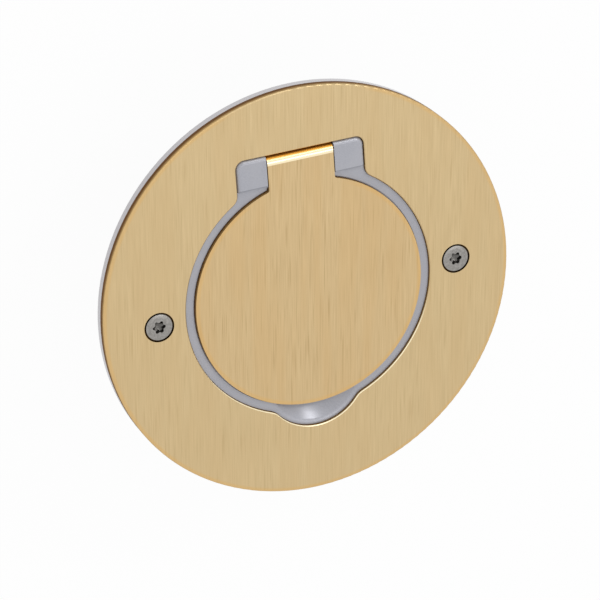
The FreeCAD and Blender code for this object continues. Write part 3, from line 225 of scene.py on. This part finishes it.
def layer(tree, under, over, *limits, most=1.0):
    """One colour with another laid over it in a zone."""
    colours = {0: zone(tree, *limits, most=most), 6: under, 7: over}
    return add_node(tree, "ShaderNodeMix", colours, data_type="RGBA").outputs[2]


def dress(tree, shader, colour, roughness, height, depth, strength=0.5):
    """Colours a shader, and raises its surface by up to depth, in metres, where height is 1.

    The roughness is a number, a socket, or a pattern with the roughness where it is low and high.
    """
    if isinstance(roughness, tuple):
        pattern, smooth, rough = roughness
        ends = {"Value": pattern, "From Min": 0.3, "From Max": 0.7, "To Min": smooth, "To Max": rough}
        roughness = add_node(tree, "ShaderNodeMapRange", ends, interpolation_type="SMOOTHSTEP").outputs[0]
    if isinstance(roughness, float):
        shader.inputs["Roughness"].default_value = roughness
    else:
        tree.links.new(roughness, shader.inputs["Roughness"])
    relief = add_node(tree, "ShaderNodeBump", {"Height": height, "Strength": strength, "Distance": depth})
    tree.links.new(colour, shader.inputs["Base Color"])
    tree.links.new(relief.outputs[0], shader.inputs["Normal"])


def coat(finish, *names):
    """Gives one finish to whole CAD nodes."""
    for name in names:
        mesh = nodes[name].data
        mesh.materials.clear()
        mesh.materials.append(finish)


def brushed_brass(name, tints, drag_strength, edge, side):
    """Brass brushed nearly along Y, a little warmer up to its round edge, sides in painted shade and light.
    """
    finish, tree, place, shader = new_finish(name, {"Metallic": 1.0})
    turned = {"Vector": place, "Rotation": (0, 0, math.radians(4))}
    along = add_node(tree, "ShaderNodeMapping", turned).outputs[0]
    # The brush lines are about 0.1 mm apart. They are drawn at 0.3 mm, or they wouldn't show.
    fine = grain(tree, along, (0.3 * MM, 17 * MM, 0.3 * MM), 2.0, 0.6)
    drags = grain(tree, along, (0.35 * MM, 13 * MM, 0.35 * MM), 0.0)
    cloud = grain(tree, along, (6 * MM, 60 * MM, 6 * MM), 1.0)
    face = layer(tree, linear(tints[0]), linear(tints[1]), (fine, 0.25, 0.75))
    face = layer(tree, face, linear("a08353"), (drags, 0.62, 0.8), most=drag_strength)
    face = layer(tree, face, linear(tints[2]), (cloud, 0.4, 0.65), most=0.35)

    spot = add_node(tree, "ShaderNodeSeparateXYZ", {"Vector": place})
    rim = (away_from(tree, place), edge - 1.6 * MM, edge - 0.6 * MM)
    short_of_neck = (spot.outputs["Y"], edge - 3 * MM, edge - 6.5 * MM)
    face = layer(tree, face, linear("d6ab68"), rim, short_of_neck, most=0.45)

    # Painted highlight at the top of each side, over the side colour, which is painted shade below.
    normal = add_node(tree, "ShaderNodeTexCoord").outputs["Normal"]
    facing = add_node(tree, "ShaderNodeSeparateXYZ", {"Vector": normal})
    painted_highlight_top_of_side = (spot.outputs["Z"], cad_high.z - 1.3 * MM, cad_high.z - 0.5 * MM)
    side = layer(tree, side, linear("b39360"), painted_highlight_top_of_side)
    level = add_node(tree, "ShaderNodeMath", {0: facing.outputs["Z"]}, operation="ABSOLUTE").outputs[0]
    face = layer(tree, side, face, (level, 0.2, 0.5))
    ends = {"Value": fine, "From Min": 0.25, "From Max": 0.75, "To Min": 0.28, "To Max": 0.4}
    brushing = add_node(tree, "ShaderNodeMapRange", ends, interpolation_type="SMOOTHSTEP").outputs[0]
    ends = {0: zone(tree, (level, 0.2, 0.5)), 2: 0.75, 3: brushing}
    dullness = add_node(tree, "ShaderNodeMix", ends, data_type="FLOAT").outputs[0]
    dress(tree, shader, face, dullness, fine, 0.006 * MM, 0.4)
    return finish, tree, place, shader, face, dullness, facing, spot


# The two cover screws have heads of this radius, and their countersinks are a little wider.
screw_head = 4.1 * MM
countersink = 4.7 * MM
screw_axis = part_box("plate_screws")[1].x - screw_head


def from_screws(tree, place):
    """Distance from the axis of the nearer cover screw, in metres."""
    both = {0: away_from(tree, place, screw_axis), 1: away_from(tree, place, -screw_axis)}
    return add_node(tree, "ShaderNodeMath", both, operation="MINIMUM").outputs[0]


# The plate's countersinks are darkened with painted shade, and the rounded edge of its opening, where it
# faces the hinge, carries a painted highlight. Its dark brown sides are painted shade.
low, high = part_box("cover_plate")
finish, tree, place, shader, face, dullness, facing, spot = brushed_brass(
    "brushed brass of the plate", ("c6ae83", "d1b98e", "caaf82"), 0.2, high.x, linear("7a5732")
)
# Painted shade in the gap round each cover screw's head.
painted_shade_round_screws = (from_screws(tree, place), countersink + 0.05 * MM, countersink)
sunk = (spot.outputs["Z"], high.z - 0.02 * MM, high.z - 0.12 * MM)
face = layer(tree, face, linear("33220c"), painted_shade_round_screws, sunk)
# A painted highlight along the rounded edge of the opening, where it faces the hinge.
round_opening = (away_from(tree, place), 47 * MM, 46 * MM)
off_top = (facing.outputs["Z"], 0.97, 0.9)
off_side = (facing.outputs["Z"], 0.15, 0.3)
painted_highlight_toward_hinge = (facing.outputs["Y"], 0.15, 0.4)
face = layer(tree, face, linear("fff0cc"), round_opening, off_top, off_side, painted_highlight_toward_hinge)
tree.links.new(face, shader.inputs["Base Color"])
coat(finish, "cover_plate")

# The lid's eye is polished on its crown; its colour holds a painted highlight on the crown and a painted
# reflection, deeper gold, on its flank. Its lighter brown sides are painted light in the gap round the lid.
low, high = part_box("lid_plate")
finish, tree, place, shader, face, dullness, facing, spot = brushed_brass(
    "brushed brass of the lid", ("c6ab7f", "d2b88c", "cdac7a"), 0.35, high.x, linear("a67a45")
)
eye = (spot.outputs["Y"], high.y - 3.0 * MM, high.y - 2.9 * MM)
flank, crown = 0.78, 0.97
# Painted highlight on the eye's crown, and painted reflection on its flank.
painted_eye_light = layer(tree, linear("d3983f"), linear("fdecc6"), (facing.outputs["Z"], flank, crown))
tree.links.new(layer(tree, face, painted_eye_light, eye), shader.inputs["Base Color"])
ends = {"Value": facing.outputs["Z"], "From Min": flank, "From Max": crown, "To Min": 0.4, "To Max": 0.16}
rolled = add_node(tree, "ShaderNodeMapRange", ends, interpolation_type="SMOOTHSTEP").outputs[0]
ends = {0: zone(tree, eye), 2: dullness, 3: rolled}
dullness = add_node(tree, "ShaderNodeMix", ends, data_type="FLOAT").outputs[0]
tree.links.new(dullness, shader.inputs["Roughness"])
coat(finish, "lid_plate")

# ---------------------------------------------------------------- frame
# Zinc die casting under silver-grey enamel: a satin, slightly bluish grey with a fine metallic fleck
# and the faint orange peel of sprayed paint. The rim is painted paler, as painted light on its side. A
# parting line crosses the front of each lug.

low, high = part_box("base_frame")
enamel = {"Metallic": 0.25, "Coat Weight": 0.3, "Coat Roughness": 0.28}
finish, tree, place, shader = new_finish("silver-grey enamel on die-cast zinc", enamel)
# The flecks are about 0.1 mm across. They are drawn at 0.25 mm, or they wouldn't show.
fleck = grain(tree, place, (0.25 * MM,) * 3, 1.0)
cloud = grain(tree, place, (8 * MM,) * 3, 2.0)
paint = layer(tree, linear("a5a6ae"), linear("b1b2ba"), (fleck, 0.3, 0.7))
paint = layer(tree, paint, linear("b4b4ba"), (cloud, 0.4, 0.7), most=0.4)
spot = add_node(tree, "ShaderNodeSeparateXYZ", {"Vector": place})
lug_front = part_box("lid_plate")[1].x + 0.35 * MM
before = (spot.outputs["Y"], lug_front - 0.3 * MM, lug_front - 0.05 * MM)
behind = (spot.outputs["Y"], lug_front + 0.3 * MM, lug_front + 0.05 * MM)
raised = (spot.outputs["Z"], high.z - 0.5 * MM, high.z - 0.1 * MM)
paint = layer(tree, paint, linear("6d6e76"), before, behind, raised, most=0.55)
# The rim is painted paler: painted light.
painted_light_at_rim = (away_from(tree, place), high.x - 0.5 * MM, high.x)
paint = layer(tree, paint, linear("c6c3c6"), painted_light_at_rim)
peel = grain(tree, place, (0.7 * MM,) * 3, 2.0)
dress(tree, shader, paint, 0.3, peel, 0.01 * MM, 0.3)
coat(finish, "base_frame")

# ---------------------------------------------------------------- gasket and lid seal
# Die-cut foam ring under the flange, with open cells on its cut faces, and a moulded rubber lip
# seal, dull black with a trace of pale release powder. The cable's grommet is of the same rubber.

finish, tree, place, shader = new_finish("closed-cell neoprene foam")
cell_place = {"Vector": place, "Scale": 1 / (0.5 * MM)}
cells = add_node(tree, "ShaderNodeTexVoronoi", cell_place).outputs["Distance"]
tone = layer(tree, linear("19191a"), linear("333335"), (cells, 0.1, 0.6))
dress(tree, shader, tone, 0.9, cells, 0.1 * MM, 0.6)
coat(finish, "floor_gasket")

finish, tree, place, shader = new_finish("black EPDM rubber")
bloom = grain(tree, place, (3 * MM,) * 3, 4.0, 0.6)
tone = layer(tree, linear("1b1b1c"), linear("2e2e2f"), (bloom, 0.4, 0.75))
skin = grain(tree, place, (0.2 * MM,) * 3, 2.0)
dress(tree, shader, tone, (bloom, 0.5, 0.72), skin, 0.01 * MM)
coat(finish, "lid_seal", "entry_grommet")

# ---------------------------------------------------------------- screws of cover, lid and socket
# Cold-headed machine screws, modelled with their drives and threads: nickel-plated steel with a
# six-lobe drive in the cover, and cross or slotted drives elsewhere.


def lathe(name, rings, places, steps=48):
    """Turned solid from (radius, height) rings, at several (x, y) places.

    A radius is a number, or a function of the angle that draws an outline.
    """
    build = bmesh.new()
    for x, y in places:
        rows = []
        for radius, height in rings:
            if radius == 0:
                rows.append([build.verts.new((x, y, height))])
                continue
            row = []
            for step in range(steps):
                angle = 2 * math.pi * step / steps
                reach = radius(angle) if callable(radius) else radius
                corner = (x + reach * math.cos(angle), y + reach * math.sin(angle), height)
                row.append(build.verts.new(corner))
            rows.append(row)
        for below, above in zip(rows, rows[1:]):
            for step in range(steps):
                after = (step + 1) % steps
                corners = [below[step % len(below)], below[after % len(below)]]
                corners += [above[after % len(above)], above[step % len(above)]]
                build.faces.new(list(dict.fromkeys(corners)))
    bmesh.ops.recalc_face_normals(build, faces=build.faces)
    for face in build.faces:
        face.smooth = True
    for edge in build.edges:
        edge.smooth = edge.calc_face_angle(0.0) < math.radians(35)
    mesh = bpy.data.meshes.new(name)
    build.to_mesh(mesh)
    build.free()
    piece = bpy.data.objects.new(name, mesh)
    scene.collection.objects.link(piece)
    return piece


def thread(radius, start, end, pitch):
    """Rings of a thread between two heights: crests at radius, roots a little deeper."""
    turns = max(1, round(abs(end - start) / pitch))
    rise = (end - start) / turns
    rings = []
    for turn in range(turns):
        height = start + turn * rise
        rings += [(radius - 0.5 * pitch, height), (radius, height + 0.5 * rise)]
    return rings + [(radius - 0.5 * pitch, end)]


def six_lobe(size):
    """Outline of a six-lobe drive with its points at size."""
    return lambda angle: size * (0.86 + 0.14 * math.cos(6 * angle))


def cross(length, width):
    """Outline of a cross drive: four arms of a length and a half width."""
    return lambda angle: min(length, width / max(min(abs(math.sin(angle)), abs(math.cos(angle))), 1e-6))


def slit(length, width):
    """Outline of a slotted drive along X."""
    return lambda angle: min(length, width / max(abs(math.sin(angle)), 1e-6))


def place_screws(piece, node, body, finish):
    """Puts a detailed screw piece in place of its CAD node."""
    piece.data.materials.append(finish)
    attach(piece, body)
    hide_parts(node)


# Nickel plate is a warm grey that dulls in patches, and the cover's drives are darkened with painted shade.
low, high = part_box("plate_screws")
nickel, tree, place, shader = new_finish("nickel-plated steel", {"Metallic": 1.0})
smut = grain(tree, place, (0.8 * MM,) * 3, 3.0, 0.6)
tone = layer(tree, linear("8c8985"), linear("9f9c98"), (smut, 0.35, 0.7))
painted_shade_in_drive = (from_screws(tree, place), 2.2 * MM, 2.1 * MM)
spot = add_node(tree, "ShaderNodeSeparateXYZ", {"Vector": place})
sunk = (spot.outputs["Z"], high.z - 0.05 * MM, high.z - 0.6 * MM)
# Painted shade down in the cover screws' drives.
tone = layer(tree, tone, linear("191816"), painted_shade_in_drive, sunk, most=0.55)
scuff = grain(tree, place, (0.12 * MM, 0.9 * MM, 0.12 * MM), 2.0)
dress(tree, shader, tone, (smut, 0.22, 0.42), scuff, 0.008 * MM)

# Zinc plate is a cooler grey, with a soft spangle and a trace of yellow passivation.
zinc, tree, place, shader = new_finish("zinc-plated steel", {"Metallic": 1.0})
passivation = grain(tree, place, (2.5 * MM,) * 3, 3.0, 0.6)
spangle_place = {"Vector": place, "Scale": 1 / (1.2 * MM)}
spangle = add_node(tree, "ShaderNodeTexVoronoi", spangle_place).outputs["Distance"]
tone = layer(tree, linear("a9aeb3"), linear("bcbfc4"), (passivation, 0.35, 0.65))
tone = layer(tree, tone, linear("c2bda9"), (spangle, 0.2, 0.7), most=0.25)
dress(tree, shader, tone, (passivation, 0.28, 0.45), spangle, 0.01 * MM, 0.3)

# Cover: M4 countersunk, with a small radius at the head's edge and a chamfer round the drive.
head, shank, top = screw_head, 2.0 * MM, high.z
under_head = top - head + shank
drive = six_lobe(1.98 * MM)
rings = [(0, low.z), (shank - 0.4 * MM, low.z)]
rings += thread(shank, low.z + 0.5 * MM, under_head - 0.9 * MM, 0.7 * MM)
rings += [(shank, under_head - 0.4 * MM), (shank, under_head)]
rings += [(head - 0.2 * MM, top - 0.2 * MM), (head - 0.04 * MM, top - 0.15 * MM)]
rings += [(head - 0.03 * MM, top - 0.09 * MM), (head - 0.2 * MM, top), (2.35 * MM, top)]
rings += [(six_lobe(2.08 * MM), top), (drive, top - 0.12 * MM)]
rings += [(drive, top - 1.6 * MM), (1.2 * MM, top - 1.9 * MM), (0, top - 2.3 * MM)]
piece = lathe("plate_screws_detailed", rings, [(screw_axis, 0), (-screw_axis, 0)], 72)
place_screws(piece, "plate_screws", "box", nickel)

# Lid: four pan heads that face down.
low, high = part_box("lid_screws")
head, shank, bottom = 1.9 * MM, 1.0 * MM, low.z
drive = cross(1.2 * MM, 0.28 * MM)
rings = [(0, bottom + 0.75 * MM), (drive, bottom + 0.7 * MM), (drive, bottom + 0.05 * MM)]
rings += [(cross(1.26 * MM, 0.34 * MM), bottom), (head - 0.3 * MM, bottom)]
rings += [(head - 0.08 * MM, bottom + 0.1 * MM), (head, bottom + 0.35 * MM)]
rings += [(head, bottom + 1.2 * MM), (shank, bottom + 1.2 * MM)]
rings += thread(shank, bottom + 1.3 * MM, high.z - 0.2 * MM, 0.4 * MM) + [(0.7 * MM, high.z), (0, high.z)]
reach = high.x - head
corners = [(reach, reach), (-reach, reach), (-reach, -reach), (reach, -reach)]
place_screws(lathe("lid_screws_detailed", rings, corners), "lid_screws", "lid", nickel)

# Socket face: one cheese head in the middle of the well.
low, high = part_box("face_screw")
head, shank, top = high.x, 1.5 * MM, high.z
drive = cross(1.75 * MM, 0.42 * MM)
rings = [(0, low.z), (1.1 * MM, low.z)] + thread(shank, low.z + 0.4 * MM, top - 1.6 * MM, 0.6 * MM)
rings += [(shank, top - 1.2 * MM), (head, top - 1.2 * MM), (head, top - 0.35 * MM)]
rings += [(head - 0.1 * MM, top - 0.1 * MM), (head - 0.35 * MM, top)]
rings += [(cross(1.85 * MM, 0.5 * MM), top), (drive, top - 0.08 * MM)]
rings += [(drive, top - 0.9 * MM), (0, top - 1.0 * MM)]
place_screws(lathe("face_screw_detailed", rings, [(0, 0)], 64), "face_screw", "box", zinc)

# Rear cover: two countersunk heads that face down.
low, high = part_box("cover_screws")
head, shank, bottom = 2.0 * MM, 1.0 * MM, low.z
drive = cross(1.15 * MM, 0.28 * MM)
rings = [(0, bottom + 0.75 * MM), (drive, bottom + 0.7 * MM), (drive, bottom + 0.05 * MM)]
rings += [(cross(1.22 * MM, 0.34 * MM), bottom), (head - 0.06 * MM, bottom), (head, bottom + 0.06 * MM)]
rings += [(shank, bottom + 1.05 * MM)] + thread(shank, bottom + 1.2 * MM, high.z - 0.3 * MM, 0.45 * MM)
rings += [(0.6 * MM, high.z), (0, high.z)]
ends = [(high.x - head, 0), (low.x + head, 0)]
place_screws(lathe("cover_screws_detailed", rings, ends), "cover_screws", "box", zinc)

# Terminals: three slotted cheese heads, the earth terminal's off the middle.
low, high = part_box("terminal_screws")
head, shank, top = 2.6 * MM, 1.75 * MM, high.z
earth_side = 7.5 * MM
drive = slit(2.2 * MM, 0.4 * MM)
rings = [(0, low.z), (1.3 * MM, low.z)] + thread(shank, low.z + 0.4 * MM, top - 2.2 * MM, 0.8 * MM)
rings += [(shank, top - 2.0 * MM), (head, top - 2.0 * MM), (head, top - 0.2 * MM)]
rings += [(head - 0.15 * MM, top), (slit(2.25 * MM, 0.46 * MM), top)]
rings += [(drive, top - 0.06 * MM), (drive, top - 1.0 * MM), (0, top - 1.0 * MM)]
ends = [(low.x + head, low.y + head), (high.x - head, low.y + head), (earth_side, high.y - head)]
piece = lathe("terminal_screws_detailed", rings, ends, 64)
place_screws(piece, "terminal_screws", "box", zinc)

# Support ring: two domed heads in the box's bosses.
low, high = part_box("device_screws")
head, shank, top = 3.0 * MM, 1.6 * MM, high.z
drive = cross(1.7 * MM, 0.4 * MM)
rings = [(0, low.z), (1.2 * MM, low.z)] + thread(shank, low.z + 0.4 * MM, top - 1.9 * MM, 0.7 * MM)
rings += [(shank, top - 1.6 * MM), (head, top - 1.6 * MM), (head, top - 0.95 * MM)]
rings += [(head - 0.25 * MM, top - 0.5 * MM), (head - 0.75 * MM, top - 0.12 * MM)]
rings += [(cross(1.78 * MM, 0.48 * MM), top), (drive, top - 0.08 * MM)]
rings += [(drive, top - 0.9 * MM), (0, top - 1.0 * MM)]
ends = [(high.x - head, 0), (low.x + head, 0)]
place_screws(lathe("device_screws_detailed", rings, ends, 64), "device_screws", "box", zinc)

# ---------------------------------------------------------------- plated and plain metal parts
# The support ring is pressed from zinc-plated sheet, and the clamps and rivets are plated too. The
# hinge pin is ground stainless rod with fine lines round it. Contacts, strap and inserts are brass.

coat(zinc, "support_ring", "terminal_clamps", "base_rivets")

finish, tree, place, shader = new_finish("ground stainless steel", {"Metallic": 1.0})
rounds = grain(tree, place, (0.15 * MM, 4 * MM, 4 * MM), 2.0)
tone = layer(tree, linear("aeaca7"), linear("c2c0bb"), (rounds, 0.3, 0.7))
dress(tree, shader, tone, (rounds, 0.15, 0.3), rounds, 0.004 * MM)
coat(finish, "hinge_pin")

# Rolled brass strip is a bright yellow with browner tarnished patches. The lines that the rolls
# leave are about 0.1 mm apart, and are drawn at 0.3 mm so that they show.
finish, tree, place, shader = new_finish("rolled contact brass", {"Metallic": 1.0})
rolling = grain(tree, place, (0.3 * MM, 0.3 * MM, 7 * MM), 3.0, 0.6)
tarnish = grain(tree, place, (4 * MM,) * 3, 4.0, 0.6)
tone = layer(tree, linear("c3954f"), linear("d3a763"), (rolling, 0.3, 0.7))
tone = layer(tree, tone, linear("a8763a"), (tarnish, 0.5, 0.8), most=0.5)
dress(tree, shader, tone, (tarnish, 0.22, 0.42), rolling, 0.005 * MM, 0.4)
coat(finish, "line_contact", "neutral_contact", "earth_strap", "threaded_inserts")

# ---------------------------------------------------------------- shutter spring
# Coil of drawn 0.4 mm spring wire with closed ends. It lies between the end of its trough and the
# shutter, and is squeezed as the two pins of a plug push the shutter aside.

# Drawing leaves the wire a smooth mid grey with faint paler specks.
finish, tree, place, shader = new_finish("drawn spring steel", {"Metallic": 1.0})
scale = grain(tree, place, (0.25 * MM,) * 3, 3.0)
tone = layer(tree, linear("85888d"), linear("9a9da1"), (scale, 0.35, 0.7))
dress(tree, shader, tone, (scale, 0.25, 0.4), scale, 0.004 * MM, 0.4)

low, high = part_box("shutter_spring")
length = high.y - low.y
wire = 0.2 * MM
coil_radius = high.x - wire
turns, closed_turns = 8, 1
closed_pitch = 2.05 * wire
open_pitch = (length - 2 * wire - 2 * closed_turns * closed_pitch) / (turns - 2 * closed_turns)
steps, wire_sides = 32, 10
build = bmesh.new()
rows = []
for step in range(turns * steps + 1):
    turn = step / steps
    angle = 2 * math.pi * turn
    closed = min(turn, closed_turns) + max(turn - turns + closed_turns, 0)
    rise = wire + closed * closed_pitch + (turn - closed) * open_pitch
    pitch = closed_pitch if turn < closed_turns or turn > turns - closed_turns else open_pitch
    outward = Vector((math.cos(angle), 0, math.sin(angle)))
    forward = Vector((-math.sin(angle), pitch / (2 * math.pi * coil_radius), math.cos(angle))).normalized()
    sideways = forward.cross(outward)
    middle = Vector((0, low.y + rise, (low.z + high.z) / 2)) + outward * coil_radius
    row = []
    for side in range(wire_sides):
        around = 2 * math.pi * side / wire_sides
        spoke = outward * math.cos(around) + sideways * math.sin(around)
        row.append(build.verts.new(middle + spoke * wire))
    rows.append(row)
for before, after in zip(rows, rows[1:]):
    for side in range(wire_sides):
        build.faces.new((before[side], before[side - 1], after[side - 1], after[side])).smooth = True
build.faces.new(rows[0])
build.faces.new(rows[-1])
bmesh.ops.recalc_face_normals(build, faces=build.faces)
mesh = bpy.data.meshes.new("shutter_spring_coil")
build.to_mesh(mesh)
build.free()
spring = bpy.data.objects.new("shutter_spring_coil", mesh)
scene.collection.objects.link(spring)
spring.data.materials.append(finish)
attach(spring, "box")
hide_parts("shutter_spring")
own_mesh(spring)

# ---------------------------------------------------------------- moulded plastic parts
# Injection mouldings, each with the skin of its mould: eroded texture on the black box, plug and
# liner, polish on the white face, glass fibre showing in the ivory base, dull grey slippery acetal.


def moulded(name, dark, light, gloss, grain_size, depth, fibre=0.0):
    """Plastic with a slight mottle, the relief of its mould and, where it is filled, pale fibres."""
    finish, tree, place, shader = new_finish(name)
    mottle = grain(tree, place, (6 * MM,) * 3, 3.0, 0.6)
    tone = layer(tree, linear(dark), linear(light), (mottle, 0.35, 0.7))
    if fibre:
        strands = grain(tree, place, (0.25 * MM, 2.5 * MM, 0.4 * MM), 2.0)
        tone = layer(tree, tone, linear("ffffff"), (strands, 0.58, 0.72), most=fibre)
    skin = grain(tree, place, (grain_size,) * 3, 2.0)
    dress(tree, shader, tone, (mottle, gloss, gloss + 0.1), skin, depth)
    return finish


coat(moulded("black ABS, eroded skin", "272729", "303032", 0.42, 0.3 * MM, 0.03 * MM), "lid_liner")
coat(
    moulded("black polyamide, glass-filled", "29292b", "333335", 0.5, 0.4 * MM, 0.04 * MM, 0.05),
    "floor_box",
    "blanking_plug",
)
coat(moulded("white urea, polished mould", "e9e7e1", "ecebe5", 0.2, 1.5 * MM, 0.01 * MM), "socket_face")
coat(
    moulded("ivory polyamide, glass-filled", "cfc8b6", "dad4c5", 0.45, 0.4 * MM, 0.03 * MM, 0.3),
    "socket_base",
    "rear_cover",
)
coat(moulded("grey acetal", "85888c", "94979a", 0.35, 0.5 * MM, 0.01 * MM), "shutter")

low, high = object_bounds()
